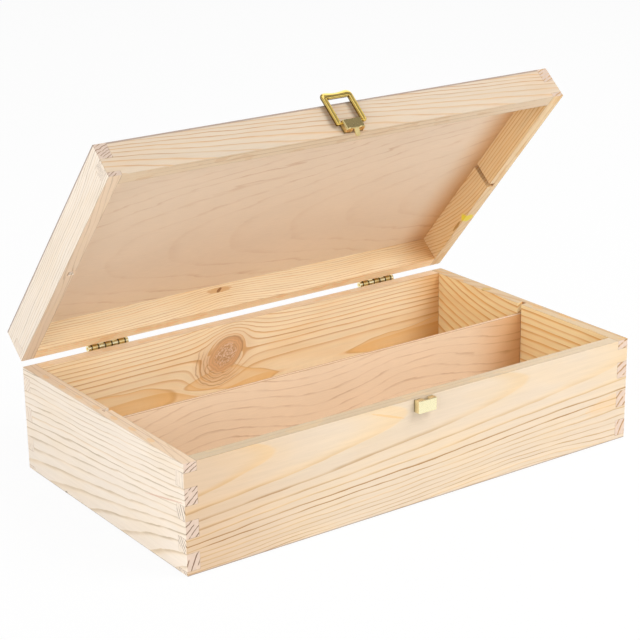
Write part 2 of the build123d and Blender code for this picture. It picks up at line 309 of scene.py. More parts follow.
class GroupTree(Tree):
    """A new node group with a Place and the inputs named, and outputs like the samples.

    Given holds the inputs as signals under their names, and place is the Place split up.
    """

    def __init__(self, name, samples, **inputs):
        super().__init__(bpy.data.node_groups.new(name, "ShaderNodeTree"))
        inputs = {"Place": PLACE, **inputs}
        for side, sockets in (("INPUT", inputs), ("OUTPUT", samples)):
            for key, value in sockets.items():
                size = len(value) if isinstance(value, tuple) else 1
                socket = self.tree.interface.new_socket(
                    spaced(key), in_out=side, socket_type=SOCKETS[size]
                )
                if side == "INPUT":
                    socket.default_value = value
        inner = self.tree.nodes.new("NodeGroupInput")
        self.outer = self.tree.nodes.new("NodeGroupOutput")
        given = {key: Signal(self, inner.outputs[spaced(key)]) for key in inputs}
        self.given = SimpleNamespace(**given)
        self.place = self.split(self.given.Place)

    def grain(self, long, wide, seed=0, detail=2):
        """Noise drawn out along a board, by the size of its features along it and across."""
        along, across, into = self.place
        return self.noise(self.join(along / long, across / wide + seed, into / wide), detail)

    def give(self, **outputs):
        for key, value in outputs.items():
            self.put(self.outer.inputs[spaced(key)], value)


PLACE = (0.0, 0.0, 0.0)
COLOUR = (0.5, 0.5, 0.5, 1.0)

# colours of things that are too small for the settings, and of painted shade
# painted shade, multiplied into the wood at board and panel ends that lie in shade
PAINTED_SHADE_TINT = (0.80, 0.60, 0.40)  # it multiplies a colour
# painted shade along the outer arrises of the boards
EDGE_SHADE = (0.30, 0.23, 0.20)
CRACK = (0.86, 0.66, 0.50)
FOLD = (0.46, 0.23, 0.09)
KNOT_EDGE = (0.34, 0.16, 0.06)


def make_growth_rings():
    """Rings of a trunk, cut by a board.

    Place is along the board, across its width, and into its thickness. The heart of the trunk
    runs along the board at a height and a depth in front of its face. The squared depth grows
    by the flare, fading over the flare length, and by a cosine wave, so the rings run out of
    the face in pointed arches. Past their starts, the bend lifts the grain by the square of
    the distance, and the spread draws it apart below a height in the same way. The ring number
    is the radius past the first ring over the ring width, plus narrowing times its square.
    Late wood swells up to the end of each ring and stops there in a thin dark line, which
    fades where the rings lie flat; each ring has its own strength.
    """
    tree = GroupTree(
        "Growth Rings", dict(Late_Wood=0, Line=0, Tone=0),
        Heart_Height=0, Heart_Depth=60, First_Ring=0, Into_Board=1, Flare=0, Flare_Length=1000,
        Wave=0, Wave_Length=200, Wave_Start=0, Bend=0, Bend_Start=0, Spread=0, Spread_Start=0,
        Spread_Height=0, Ring_Width=3, Narrowing=0, Waviness=2, Softness=0.5, Line_Share=0.3,
        Strong_Ring=-50, Seed=0,
    )
    given, seed = tree.given, tree.given.Seed
    along, across, into = tree.place
    slow = tree.grain(110, 30, seed, detail=1)
    fine = tree.grain(28, 5, seed)
    sway = (slow - 0.5) * given.Waviness + (fine - 0.5) * given.Waviness * 0.4
    past = (along - given.Bend_Start).at_least(0)
    apart = (along - given.Spread_Start).at_least(0).squared() * given.Spread
    under = (across - given.Spread_Height).at_most(0)
    height = across - under * apart / (apart + 1) - given.Heart_Height
    height = height - past.squared() * given.Bend + sway
    fade = 1 - (-(along / given.Flare_Length)).math("EXPONENT")
    turn = (along - given.Wave_Start) / given.Wave_Length * (2 * pi)
    spread = given.Heart_Depth.squared() + given.Flare * fade
    spread = spread + given.Wave * turn.math("COSINE")
    depth = spread.at_least(1).root() + into * given.Into_Board
    radius = (height.squared() + depth.squared()).root()
    grown = radius - given.Heart_Depth - given.First_Ring
    rings = grown / given.Ring_Width + grown * abs(grown) * given.Narrowing
    number = rings.math("FLOOR")
    phase = rings - number
    tone = tree.dice(number + seed)
    other = tree.dice(number + seed + 0.37)
    start = other * 0.4 + 0.42 - given.Softness * 0.35
    rise = phase.ramp(start, 0.95)
    drop = phase.ramp(1.0, 0.95)
    line = phase.ramp(0.94 - given.Line_Share, 0.94) * phase.ramp(1.0, 0.94)
    faint = tree.grain(45, 6, seed, detail=1)
    strong = rings.near(given.Strong_Ring, 1.6)
    line = line * (other.squared() * 0.5 + 0.5 + strong).at_most(1.2)
    line = line * faint.ramp(0.3, 0.6, 0.4, 1.0)
    flat = (abs(height) / radius).ramp(0.40, 0.08)
    line = line * (1 - flat * 0.88)
    swell = (tone * 0.7 + 0.3).at_least(flat * 0.8)
    tree.give(Late_Wood=rise * rise * drop * swell, Line=line, Tone=tone)


KNOT = dict(Along=0, Across=0, Half_Length=12, Half_Height=10, Lean=0)


def knot_spread(tree):
    """Place measured from the knot's middle in its half sizes, the distance, its wobble."""
    given = tree.given
    along, across, into = tree.place
    rise = across - given.Across
    right = (along - given.Along - rise * given.Lean) / given.Half_Length
    up = rise / given.Half_Height
    wobble = tree.noise(tree.join(right * 1.5, up * 1.5, into / 20)) - 0.5
    return right, up, (right.squared() + up.squared()).root() + wobble * 0.18, wobble


def make_knot_flow():
    """Grain parts round a knot as water flows round a post, and sags under it."""
    tree = GroupTree("Knot Flow", dict(Place=PLACE), **KNOT, Sag=10)
    given = tree.given
    along, _, into = tree.place
    right, up, spread, _ = knot_spread(tree)
    parting = (1 - spread.squared().at_least(1.0).math("POWER", -1.0) * 1.25).at_least(0)
    under = (-((right + 0.5).squared() * 0.5 + (up + 1.3).squared() * 0.9)).math("EXPONENT")
    parted = given.Across + up * given.Half_Height * parting
    tree.give(Place=tree.join(along, parted + under * given.Sag, into))


def make_knot_colour():
    """A branch cut across: its rings, a cracked heart, a dark edge, and folds below it.

    The folds are rings of the trunk that wrap round the branch: thin lines where the distance
    from its middle, times four and a half, passes a whole number, on its lower left side.
    """
    tree = GroupTree("Knot Colour", dict(Colour=COLOUR), **KNOT, Colour=COLOUR, Knot_Colour=COLOUR)
    given = tree.given
    right, up, spread, wobble = knot_spread(tree)
    ringed = (spread * 40 + wobble * 14).math("SINE") * 0.5 + 0.5
    cracks = tree.noise(tree.join(right * 1.9, up * 1.9, 3.0), detail=3, roughness=0.7)
    crack = abs(cracks - 0.5).ramp(0.045, 0.0) * spread.ramp(0.8, 0.5)
    core = spread.ramp(0.85, 0.3)
    inside = tree.shade(given.Knot_Colour, ringed * 0.16 + 0.98 - core * 0.22)
    inside = tree.mix(crack * 0.75, inside, CRACK)
    below = (right * 0.7 + up).ramp(-0.2, -1.1)
    count = spread * 4.5 + wobble * 0.5
    phase = count - count.math("FLOOR")
    fold = phase.ramp(0.55, 0.92) * phase.ramp(1.0, 0.92) * below
    fold = fold * spread.ramp(2.0, 1.75)
    tint = spread.ramp(2.2, 1.0) * (below * 0.35 + 0.3)
    colour = tree.mix(tint, given.Colour, given.Knot_Colour)
    colour = tree.mix(tint * 0.4, colour, given.Colour)
    colour = tree.mix(fold * 0.65, colour, FOLD)
    colour = tree.mix(spread.ramp(1.04, 0.94), colour, inside)
    edge = spread.near(1.0, 0.08) * (right + up).ramp(-0.9, 0.6)
    tree.give(Colour=tree.mix(edge * 0.55, colour, KNOT_EDGE))


def make_flat_ring():
    """A ring cut almost flat: a pointed patch of late wood with a darker rim.

    The patch is a wedge or a parabola lying along the board: inside it, the distance from the
    tip over the length is more than the height over the half height, to the given power.
    """
    tree = GroupTree(
        "Flat Ring", dict(Colour=COLOUR),
        Tip=0, Across=0, Length=50, Half_Height=8, Power=2, Colour=COLOUR, Late_Colour=COLOUR,
        Line_Colour=COLOUR,
    )
    given = tree.given
    along, across, _ = tree.place
    wander = tree.grain(36, 14, detail=1) - 0.5
    far = (along - given.Tip) / given.Length
    high = (across - given.Across) / given.Half_Height + wander * 0.8
    inner = far - abs(high).math("POWER", given.Power)
    inside = inner.ramp(-0.02, 0.04) * far.ramp(1.5, 0.8)
    tone = inside * inner.ramp(0.5, 0.03, 0.25, 0.65)
    rim = inner.ramp(-0.03, 0.02) * inner.ramp(0.10, 0.02) * far.ramp(1.5, 0.8)
    colour = tree.mix(tone, given.Colour, given.Late_Colour)
    tree.give(Colour=tree.mix(rim * 0.30, colour, given.Line_Colour))


def make_mark():
    """A resin streak or a dot: 1 inside a soft ellipsoid whose middle line may slope."""
    tree = GroupTree(
        "Mark", dict(Mask=0), Along=0, Across=0, Into=0, Half_Length=5, Half_Height=1,
        Half_Depth=9, Slope=0, Strength=1,
    )
    given = tree.given
    along, across, into = tree.place
    run = along - given.Along
    rise = (across - given.Across - run * given.Slope) / given.Half_Height
    deep = (into - given.Into) / given.Half_Depth
    ragged = tree.noise(tree.join(along / 3, across / 1.5, into / 3)) - 0.5
    spread = (run / given.Half_Length).squared() + rise.squared() + deep.squared()
    tree.give(Mask=(spread + ragged).ramp(1.1, 0.5) * given.Strength)


def make_pine_face():
    """Colour of planed pine from its rings: fibres, blotches, ducts, end grain, sawn edges,
    painted shade.
    """
    tree = GroupTree(
        "Pine Face", dict(Colour=COLOUR, Roughness=0.5, Height=0),
        Late_Wood=0, Line=0, Tone=0.5, Early_Colour=COLOUR, Late_Colour=COLOUR, Line_Colour=COLOUR,
        End_Colour=COLOUR, End_Ring_Colour=COLOUR, End_Grain=0, Sawn=0, Sawn_Tint=COLOUR, Soil=0,
        Browning=0, Line_Strength=0.6, Seed=0,
    )
    given, seed = tree.given, tree.given.Seed
    end, late, line = given.End_Grain, given.Late_Wood, given.Line
    along, across, into = tree.place
    fibre = tree.grain(16, 0.45, seed, detail=3)
    streak = tree.grain(60, 2.4, seed)
    blotch = tree.grain(60, 24, seed, detail=3)
    duct = tree.grain(5, 0.3, seed, detail=1)
    duct = duct.above(0.74, 0.05) * (1 - end)
    warm = blotch.ramp(0.42, 0.68) * 0.22
    early = tree.mix(warm, given.Early_Colour, given.Late_Colour)
    long_grain = tree.mix(late * 0.8, early, given.Late_Colour)
    long_grain = tree.mix(line * given.Line_Strength, long_grain, given.Line_Colour)
    light = (fibre - 0.5) * 0.12 + (streak - 0.5) * 0.14 + (given.Tone - 0.5) * 0.03 + 1
    long_grain = tree.shade(long_grain, light - duct * 0.10)
    broken = tree.grain(9, 6, seed, detail=1)
    dash = (line * 3.5).at_most(1) * broken.ramp(0.38, 0.48)
    cut = tree.mix(late * 0.25, given.End_Colour, given.Late_Colour)
    cut = tree.mix(dash, cut, given.End_Ring_Colour)
    cut = tree.shade(cut, (streak - 0.5) * 0.2 + 1)
    colour = tree.mix(end, long_grain, cut)
    sawn = tree.mix(0.45, colour, given.Early_Colour)
    sawn = tree.mix(1.0, sawn, given.Sawn_Tint, "MULTIPLY")
    torn = tree.noise(tree.join(along / 13, across / 13, into / 5 + seed), detail=1)
    sawn = tree.mix(torn.above(0.60, 0.03) * 0.35, sawn, given.Late_Colour)
    colour = tree.mix(given.Sawn, colour, sawn)
    # painted shade where the end of the board lies in shade
    colour = tree.mix(given.Browning, colour, PAINTED_SHADE_TINT, "MULTIPLY")
    # painted shade along the outer arrises at the bottom and the top
    colour = tree.mix(given.Soil * 0.8, colour, EDGE_SHADE)
    roughness = 0.56 - late * 0.08 + (fibre - 0.5) * 0.12 + end * 0.12
    height = fibre * 0.5 + late * 0.3 + line * 0.3 - duct * 0.4
    tree.give(Colour=colour, Roughness=roughness, Height=height)


def make_joint_lines():
    """Seams of the finger joints, 1 on a seam: flat cuts and upright cuts of each finger."""
    tree = GroupTree("Joint Lines", dict(Seam=0), Width=SEAM)
    width = tree.given.Width
    x, y, z = tree.place
    pitch = END_FINGER + LONG_FINGER
    step = z.math("WRAP", FIRST_FINGER + pitch, FIRST_FINGER) - FIRST_FINGER
    end_part = step.below(END_FINGER, 0.02)
    from_end = abs(x) - INNER_HALF_LENGTH
    from_side = abs(y) - INNER_HALF_DEPTH
    in_end = from_end.above(-0.02, 0.02)
    in_side = from_side.above(-0.02, 0.02)
    flat = step.ramp(width, 0).at_least(abs(step - END_FINGER).ramp(width, 0))
    flat = flat.at_least((pitch - step).ramp(width, 0)) * in_end * in_side
    upright = abs(from_end).ramp(width, 0) * end_part * in_side
    upright = upright.at_least(abs(from_side).ramp(width, 0) * (1 - end_part) * in_end)
    tree.give(Seam=flat.at_least(upright) * tree.grain(4, 4).ramp(0.4, 0.6, 0.25, 1.0))


def make_brass_film():
    """Pressed brass: polish lines, dull film in patches, small knocks."""
    tree = GroupTree(
        "Brass Film", dict(Colour=COLOUR, Roughness=0.3, Height=0),
        Bright=COLOUR, Tarnish=COLOUR, Dullness=0.3, Roughness=0.3,
    )
    given = tree.given
    film = tree.grain(7, 7)
    lines = tree.grain(3, 0.12)
    knocks = tree.grain(0.8, 0.8).above(0.68, 0.06)
    dull = film.ramp(0.42, 0.7) * given.Dullness
    colour = tree.mix(dull, given.Bright, given.Tarnish)
    colour = tree.mix(knocks * 0.04, colour, given.Tarnish)
    roughness = given.Roughness + dull * 0.25 + (lines - 0.5) * 0.03
    tree.give(Colour=colour, Roughness=roughness, Height=lines * 0.3 - knocks * 0.2)


def make_plywood_face():
    """Rotary-cut veneer with faint lines, painted shade towards one end, and the plies on its
    edges.
    """
    tree = GroupTree(
        "Plywood Face", dict(Colour=COLOUR, Roughness=0.6, Height=0),
        Late_Wood=0, Line=0, Browning=0, Figure=0.5, Thickness=3, Edge=0, Colour=COLOUR,
        Figure_Colour=COLOUR,
    )
    given = tree.given
    fibre = tree.grain(9, 0.5, detail=3)
    cloud = tree.grain(60, 30)
    patchy = tree.grain(22, 12).ramp(0.38, 0.62, 0.35, 1.0)
    figure = (given.Late_Wood * 0.25 + given.Line) * given.Figure * patchy
    face = tree.mix(figure, given.Colour, given.Figure_Colour)
    face = tree.shade(face, (fibre - 0.5) * 0.16 + (cloud - 0.5) * 0.10 + 1)
    # painted shade at the end that lies in shade
    face = tree.mix(given.Browning, face, PAINTED_SHADE_TINT, "MULTIPLY")
    ply = (tree.place[2] / given.Thickness * (2 * pi)).math("COSINE")
    core = tree.shade(given.Figure_Colour, (fibre - 0.5) * 0.3 + 0.9)
    edge = tree.mix(ply.above(-0.2, 0.15), core, tree.shade(given.Colour, 0.92))
    colour = tree.mix(given.Edge, face, edge)
    tree.give(Colour=colour, Roughness=0.55 + fibre * 0.15, Height=fibre)


def material(name):
    """A new material and its tree."""
    made = bpy.data.materials.new(name)
    made.use_nodes = True
    return made, Tree(made.node_tree)


def coat(tree, colour, roughness, **more):
    """Feeds the Principled shader of a material, and gives it back."""
    shader = tree.tree.nodes["Principled BSDF"]
    inputs = {"Base Color": colour, "Roughness": roughness, **more}
    for key, value in inputs.items():
        tree.put(shader.inputs[spaced(key)], value)
    return shader


def relief(tree, height, bump, depth):
    inputs = {"Height": height, "Strength": bump, "Distance": depth}
    return tree.value("ShaderNodeBump", inputs)


def box_place(tree, on_lid):
    """Place in the uncut box, in millimetres: the lid is turned shut and lifted by the kerf."""
    mapping = tree.add("ShaderNodeMapping", {"Scale": (1 / MM,) * 3})
    tree.put(mapping.inputs["Vector"], tree.add("ShaderNodeTexCoord").outputs["Object"])
    if on_lid:
        lift = Vector((0, 0, KERF_LIFT))
        mapping.inputs["Rotation"].default_value = (LID_OPEN, 0, 0)
        mapping.inputs["Location"].default_value = LID_PIN - SHUT_LID @ LID_PIN + lift
    return mapping.outputs[0]


def dress(node, made):
    """Gives a node of the frame one material."""
    mesh = bpy.data.objects[node].data
    mesh.materials.clear()
    mesh.materials.append(made)


# ---- Boards

WOOD_SHINE = 0.35
WOOD_RELIEF = 0.0002
LID_END_SHADE = 0.8
END_SKIN = 0.3  # depth in which a board's end shows end grain
SHADE_BELOW, SHADE_ABOVE = 0.9, UNCUT_HEIGHT - 1.6  # heights below and above which the outer arrises get painted shade
GROOVE_SHADE = (0.42, 0.24, 0.12)
RIM_LINE = (0.48, 0.32, 0.18)
TORN_RIM = (0.82, 0.56, 0.30)
DEPTH_0 = {  # where each board's depth starts, in Y for the long boards and in X for the ends
    "front": -HALF_DEPTH,
    "rear": INNER_HALF_DEPTH,
    "left": -HALF_LENGTH,
    "right": INNER_HALF_LENGTH,
}


def pine_board(
    side, part, rings, early, late, line, sawn, strength=0.8, knot=None, flat_rings=(), marks=(),
    shade_span=None,
):
    """Finishes one board, by its side of the box and its part, which is base or lid.

    Rings, knot and flat rings are inputs of those groups. Sawn is the tint of the sawn rim,
    strength is that of the ring lines, and shade_span is where along X painted shade on the
    face at depth 0 begins, where it is darkest, and how far it goes.
    """
    wood = bpy.context.scene.wine_box_wood
    on_lid = part == "lid"
    made, tree = material(f"Pine, {side} of {part}")
    place = box_place(tree, on_lid)
    x, y, z = tree.split(place)
    is_long = side in ("front", "rear")
    run, half = (x, HALF_LENGTH) if is_long else (y, HALF_DEPTH)
    into = (y if is_long else x) - DEPTH_0[side]
    board = tree.join(run + half, z, into)
    flowing = tree.group("Knot Flow", Place=board, **knot)[0] if knot else board
    late_wood, ring_line, tone = tree.group("Growth Rings", Place=flowing, **rings)
    end_grain = abs(run).above(half - END_SKIN, 0.1)
    cut = abs(z - (BASE_HEIGHT + KERF / 2)).below(KERF / 2 + 0.05, 0.04)
    outer = into if side in ("front", "left") else WALL - into
    # painted shade on the outer faces along the bottom arris of the base and the top arris of the
    # lid
    shade_and_soil = z.below(SHADE_BELOW, 0.3).at_least(z.above(SHADE_ABOVE, 0.4)) * outer.below(0.5)
    # painted shade: darker and warmer towards one end of the face at depth 0
    painted_shade_mask = 0.0
    if shade_span:
        start, end, degree = shade_span
        painted_shade_mask = x.ramp(start, end, 0, degree) * into.below(0.5)
    end_colour = wood.end_pale
    if not is_long:
        end_colour = [level * (LID_END_SHADE if on_lid else 1.0) for level in wood.end_grain]
    colour, roughness, height = tree.group(
        "Pine Face", Place=flowing, Late_Wood=late_wood, Line=ring_line, Tone=tone,
        Early_Colour=early, Late_Colour=late, Line_Colour=line, Line_Strength=strength,
        End_Colour=end_colour, End_Grain=end_grain, Sawn=cut, Sawn_Tint=sawn, Soil=shade_and_soil,
        End_Ring_Colour={"rear": wood.end_grain, "right": wood.line}.get(side, wood.end_ring),
        Browning=painted_shade_mask, Seed=rings["Seed"],
    )
    for flat_ring in flat_rings:
        look = dict(Place=board, Colour=colour, Late_Colour=late, Line_Colour=line)
        colour = tree.group("Flat Ring", **look, **flat_ring)[0]
    if knot:
        look = dict(Place=board, Colour=colour, Knot_Colour=wood.knot)
        colour = tree.group("Knot Colour", **look, **knot)[0]
    for tint, inputs in marks:
        colour = tree.mix(tree.group("Mark", Place=board, **inputs)[0], colour, tint)
    if not is_long:
        deep = abs(x) - INNER_HALF_LENGTH
        groove = abs(y - DIVIDER_MIDDLE).below(GROOVE_HALF) * deep.above(0.1)
        colour = tree.mix(groove * deep.below(GROOVE_DEEP), colour, GROOVE_SHADE)
    arris = into.near(0, 0.5).at_least(into.near(WALL, 0.5)) * cut
    colour = tree.mix(arris * 0.5, colour, wood.glue)
    seam = tree.group("Joint Lines", Place=place, Width=SEAM)[0]
    colour = tree.mix(seam * 0.7, colour, wood.glue)
    normal = relief(tree, height, 0.25, WOOD_RELIEF)
    coat(tree, colour, roughness, Normal=normal, Specular_IOR_Level=WOOD_SHINE)
    dress(f"base_{side}_wall" if part == "base" else f"lid_{side}_rail", made)


def mark(colour, along, across, half_length, half_height, **more):
    """A mark for a board: its colour, and the inputs of the group Mark."""
    size = dict(Half_Length=half_length, Half_Height=half_height)
    return colour, dict(Along=along, Across=across, **size, **more)


def rim_line(colour, rim, along, half_length, into, half_depth, strength):
    """A mark on a sawn rim: a ring of the wood that shows there as a line, or a torn patch."""
    return mark(
        colour, along, rim, half_length, 0.3, Into=into, Half_Depth=half_depth, Strength=strength
    )


def front_rim_lines(rim, strength):
    """The two rings that show along each rim of the front board."""
    return [rim_line(RIM_LINE, rim, 175, 172, into, 0.4, strength) for into in (1.3, 5.2)]


def front_boards():
    """Front of the base and the lid: one flat-sawn board, its arches opening to the left."""
    early = bpy.context.scene.wine_box_wood.early
    rings = dict(
        Heart_Height=64, Heart_Depth=60, First_Ring=2.2, Flare=8300, Flare_Length=2000,
        Spread=3.6e-5, Spread_Start=235, Spread_Height=24, Strong_Ring=5.5, Ring_Width=3.2,
        Narrowing=0.0053, Waviness=4.5, Softness=0.4, Line_Share=0.24, Seed=3,
    )
    marks = [
        *front_rim_lines(BASE_HEIGHT, 0.35),
        mark((0.80, 0.52, 0.25), 338, 29, 26, 6, Slope=0.1, Strength=0.4),
        mark((0.78, 0.48, 0.18), 147, 65, 14, 0.9, Slope=-0.35, Strength=0.5),
    ]
    # painted shade at the left end of the base's front face
    pine_board(
        "front", "base", rings, early, (0.80, 0.59, 0.34), (0.38, 0.20, 0.06),
        (0.90, 0.90, 0.86), 1.0, marks=marks, shade_span=(-60.0, -175.0, 0.45),
    )
    rings.update(Ring_Width=1.1, Narrowing=0.001, Waviness=5, Strong_Ring=-50)
    pine_board(
        "front", "lid", rings, [0.81 * level for level in early], (0.60, 0.37, 0.19),
        (0.36, 0.17, 0.08), (1.26, 1.25, 1.20), 1.0, marks=front_rim_lines(LID_RIM, 0.6),
    )


def rear_boards():
    """Rear of the base and the lid: one board with a knot."""
    rings = dict(
        Heart_Height=28, Heart_Depth=30.5, Wave=20, Wave_Length=230, Wave_Start=225,
        First_Ring=0.3, Ring_Width=2.4, Narrowing=0.002, Waviness=2.5, Softness=0.6, Seed=11,
    )
    # painted shade at the right end of the rear boards' inner face, in the corner
    look = dict(
        early=(0.95, 0.79, 0.55), late=(0.86, 0.53, 0.20), line=(0.52, 0.25, 0.07),
        strength=0.85, shade_span=(125.0, 172.0, 1.0),
        knot=dict(Along=151, Across=49.5, Half_Length=13.5, Half_Height=12, Lean=0.35),
    )
    flat_rings = (
        dict(Tip=110, Across=28, Length=-70, Half_Height=14, Power=3),
        dict(Tip=116, Across=32, Length=42, Half_Height=8),
        dict(Tip=196, Across=27, Length=-36, Half_Height=14, Power=0.9),
        dict(Tip=254, Across=27.5, Length=90, Half_Height=9.5),
    )
    sawn = (0.95, 0.94, 1.01)
    pine_board("rear", "base", rings, sawn=sawn, flat_rings=flat_rings, **look)
    rings.update(Ring_Width=1.9, Waviness=5)
    small_knot = (
        mark((0.74, 0.46, 0.22), 157, 88, 11, 2.2),
        mark((0.34, 0.15, 0.05), 157, 88, 2.8, 1.2, Slope=0.5),
    )
    # the lid's sawn tint is partly the sawn wood's colour and partly painted light on a rim that
    # faces down into shade
    pine_board("rear", "lid", rings, sawn=(1.15, 1.12, 1.10), marks=small_knot, **look)


def left_boards():
    """Left end of the base and the lid: pale, with fine lines that come down to the rear."""
    rings = dict(
        Heart_Height=-12, Heart_Depth=50, Into_Board=-1, Flare=3600, Flare_Length=250,
        Ring_Width=3.6, Narrowing=0.0012, Waviness=6, Softness=0.3, Line_Share=0.24, Seed=5,
    )
    look = dict(
        early=(0.87, 0.765, 0.65), late=(0.84, 0.66, 0.45), line=(0.40, 0.29, 0.17),
        strength=0.95, sawn=(0.96, 0.87, 0.77),
    )
    marks = [
        mark((0.66, 0.40, 0.27), 24, 42, 24, 0.6, Slope=-0.2, Strength=0.7),
        mark((0.25, 0.20, 0.15), 148, 1, 1.5, 0.8),
        rim_line((0.50, 0.34, 0.22), BASE_HEIGHT, 100, 97, 5.6, 0.35, 0.6),
    ]
    for along in range(42, 176, 22):
        marks.append(rim_line(TORN_RIM, BASE_HEIGHT, along, 4.2, 3.6, 1.9, 0.75))
    pine_board("left", "base", rings, marks=marks, **look)
    rings["Narrowing"] = 0.0025
    pine_board("left", "lid", rings, **look)


def right_boards():
    """Right end of the base and the lid: strong orange stripes that climb to the rear."""

    def resin(colour):
        return mark(colour, 140, 74, 4.5, 4.5, Into=3, Half_Depth=5)

    rings = dict(
        Heart_Height=-10, Heart_Depth=40, Into_Board=-1, Bend=0.0024, Bend_Start=95,
        Ring_Width=4.4, Waviness=3, Softness=1, Seed=7,
    )
    scar = mark((0.50, 0.28, 0.09), 151, 75, 7, 1.1, Into=1)
    pine_board(
        "right", "base", rings, (0.97, 0.79, 0.47), (0.80, 0.42, 0.09), (0.66, 0.33, 0.08),
        (0.68, 0.64, 0.68), marks=[resin((0.62, 0.42, 0.14))],
    )
    rings["Ring_Width"] = 2.2
    pine_board(
        "right", "lid", rings, (0.85, 0.635, 0.365), (0.74, 0.40, 0.11), (0.50, 0.24, 0.08),
        (1.0, 1.03, 1.10), marks=[resin((0.88, 0.74, 0.06)), scar],
    )


class WINEBOX_OT_boards(bpy.types.Operator):
    """Pine boards of the base and the lid."""

    bl_idname = "wine_box.boards"
    bl_label = "Boards"

    def execute(self, context):
        for boards in (front_boards, rear_boards, left_boards, right_boards):
            boards()
        return {"FINISHED"}


# ---- Plywood

PANEL_THICKNESS = 5.0


def plywood(name, on_lid, flat, thickness, rings, colour, figure, shade_span, edge_from=None):
    """Plywood material. A flat panel lies in X and Y; the divider stands in X and Z.

    shade_span is where along X painted shade starts and is darkest, inside the box. The plies of
    the divider's upper edge show from the height edge_from.
    """
    wood = bpy.context.scene.wine_box_wood
    made, tree = material(name)
    x, y, z = tree.split(box_place(tree, on_lid))
    place = tree.join(x + HALF_LENGTH, y, z) if flat else tree.join(x + HALF_LENGTH, z, y)
    inside = abs(z - UNCUT_HEIGHT / 2).below(UNCUT_HEIGHT / 2 - 2.5)
    late_wood, line, _ = tree.group("Growth Rings", Place=place, **rings)
    # painted shade along X towards the inner right end, inside the box only
    colour, roughness, height = tree.group(
        "Plywood Face", Place=place, Late_Wood=late_wood, Line=line, Thickness=thickness,
        Browning=x.ramp(*shade_span) * inside, Edge=z.above(edge_from) if edge_from else 0.0,
        Figure=figure, Colour=colour, Figure_Colour=wood.plywood_figure,
    )
    normal = relief(tree, height, 0.15, WOOD_RELIEF)
    coat(tree, colour, roughness, Normal=normal, Specular_IOR_Level=WOOD_SHINE)
    return made


class WINEBOX_OT_plywood(bpy.types.Operator):
    """Bottom and top panels and the divider."""

    bl_idname = "wine_box.plywood"
    bl_label = "Plywood"

    def execute(self, context):
        wood = context.scene.wine_box_wood
        panel = dict(
            Heart_Height=27, Heart_Depth=75, Flare=-9000, Flare_Length=700, Ring_Width=4,
            Waviness=20, Softness=0, Line_Share=0.2, Seed=2,
        )
        standing = dict(
            Heart_Height=-60, Heart_Depth=60, Wave=-1250, Wave_Length=165, Wave_Start=85,
            Ring_Width=5.5, Waviness=11, Softness=0, Line_Share=0.2, Seed=9,
        )
        # each look ends with where along X the painted shade starts and where it is darkest
        look = (True, PANEL_THICKNESS, panel, wood.plywood, 0.5, (135.0, 170.0))
        dress("lid_top_panel", plywood("Plywood top", True, *look))
        dress("base_bottom_panel", plywood("Plywood bottom", False, *look))
        thickness = DIVIDER_HIGH[1] - DIVIDER_LOW[1]
        look = (False, thickness, standing, wood.thin_plywood, 0.85, (110.0, 170.0))
        edge_from = DIVIDER_HIGH[2] - 0.1
        dress("divider", plywood("Plywood divider", False, *look, edge_from))
        return {"FINISHED"}


# ---- Brass

BRASS_RELIEF = 0.00001


def open_lid(points):
    """Turns points of the shut lid, in millimetres, to where the lid stands, in metres."""
    turn = np.array(SHUT_LID.inverted())
    pin = np.array(LID_PIN)
    return ((points - pin) @ turn.T + pin) * MM


def new_object(name, data):
    made = bpy.data.objects.new(name, data)
    bpy.context.collection.objects.link(made)
    return made


def skin(name, points, made, **masks):
    """A closed skin over a grid of points: each row is a ring, and the end rings are shut."""
    rows, columns, _ = points.shape
    corner = np.arange(rows * columns).reshape(rows, columns)
    beside = np.roll(corner, -1, axis=1)
    quads = np.stack([corner[:-1], beside[:-1], beside[1:], corner[1:]], axis=-1)
    mesh = bpy.data.meshes.new(name)
    mesh.from_pydata(points.reshape(-1, 3).tolist(), [], quads.reshape(-1, 4).tolist())
    for label, mask in masks.items():
        attribute = mesh.attributes.new(label, "FLOAT", "POINT")
        attribute.data.foreach_set("value", mask.astype(np.float32).ravel())
    shell = bmesh.new()
    shell.from_mesh(mesh)
    bmesh.ops.remove_doubles(shell, verts=shell.verts, dist=1e-7)
    bmesh.ops.recalc_face_normals(shell, faces=shell.faces)
    shell.to_mesh(mesh)
    shell.free()
    mesh.shade_smooth()
    mesh.materials.append(made)
    return new_object(name, mesh)


def brass(name, dullness, tint="bright", dark=None, polish=0, on_lid=False):
    """Brass material: tint names a colour of the settings, polish lowers their roughness.

    Dark is a mask of painted shade, and of soil in the latch frame's groove.
    """
    finish = bpy.context.scene.wine_box_brass
    made, tree = material(name)
    place = box_place(tree, on_lid)
    colour, roughness, height = tree.group(
        "Brass Film", Place=place, Bright=getattr(finish, tint), Tarnish=finish.tarnish,
        Dullness=dullness, Roughness=finish.roughness - polish,
    )
    if dark:
        colour = tree.mix(dark(tree, place), colour, finish.shade_and_soil)
    coat(tree, colour, roughness, Normal=relief(tree, height, 0.03, BRASS_RELIEF), Metallic=1.0)
    return made


def knuckle_gap_shade(side):
    """A mask for a hinge: painted shade in the gaps where one knuckle ends at the next."""
    low, high = box_mm(f"{side}_hinge_base_leaf")
    middle = (low[0] + high[0]) / 2
    pitch = (high[0] - low[0]) / KNUCKLES

    def mask(tree, place):
        x, y, z = tree.split(place)
        step = (x - middle) / pitch + 0.5
        from_joint = abs(step - step.math("ROUND")) * pitch
        around = ((y - LID_PIN.y).squared() + (z - LID_PIN.z).squared()).root()
        return from_joint.ramp(0.75, 0.35) * around.below(2.6, 0.2) * 0.85

    return mask


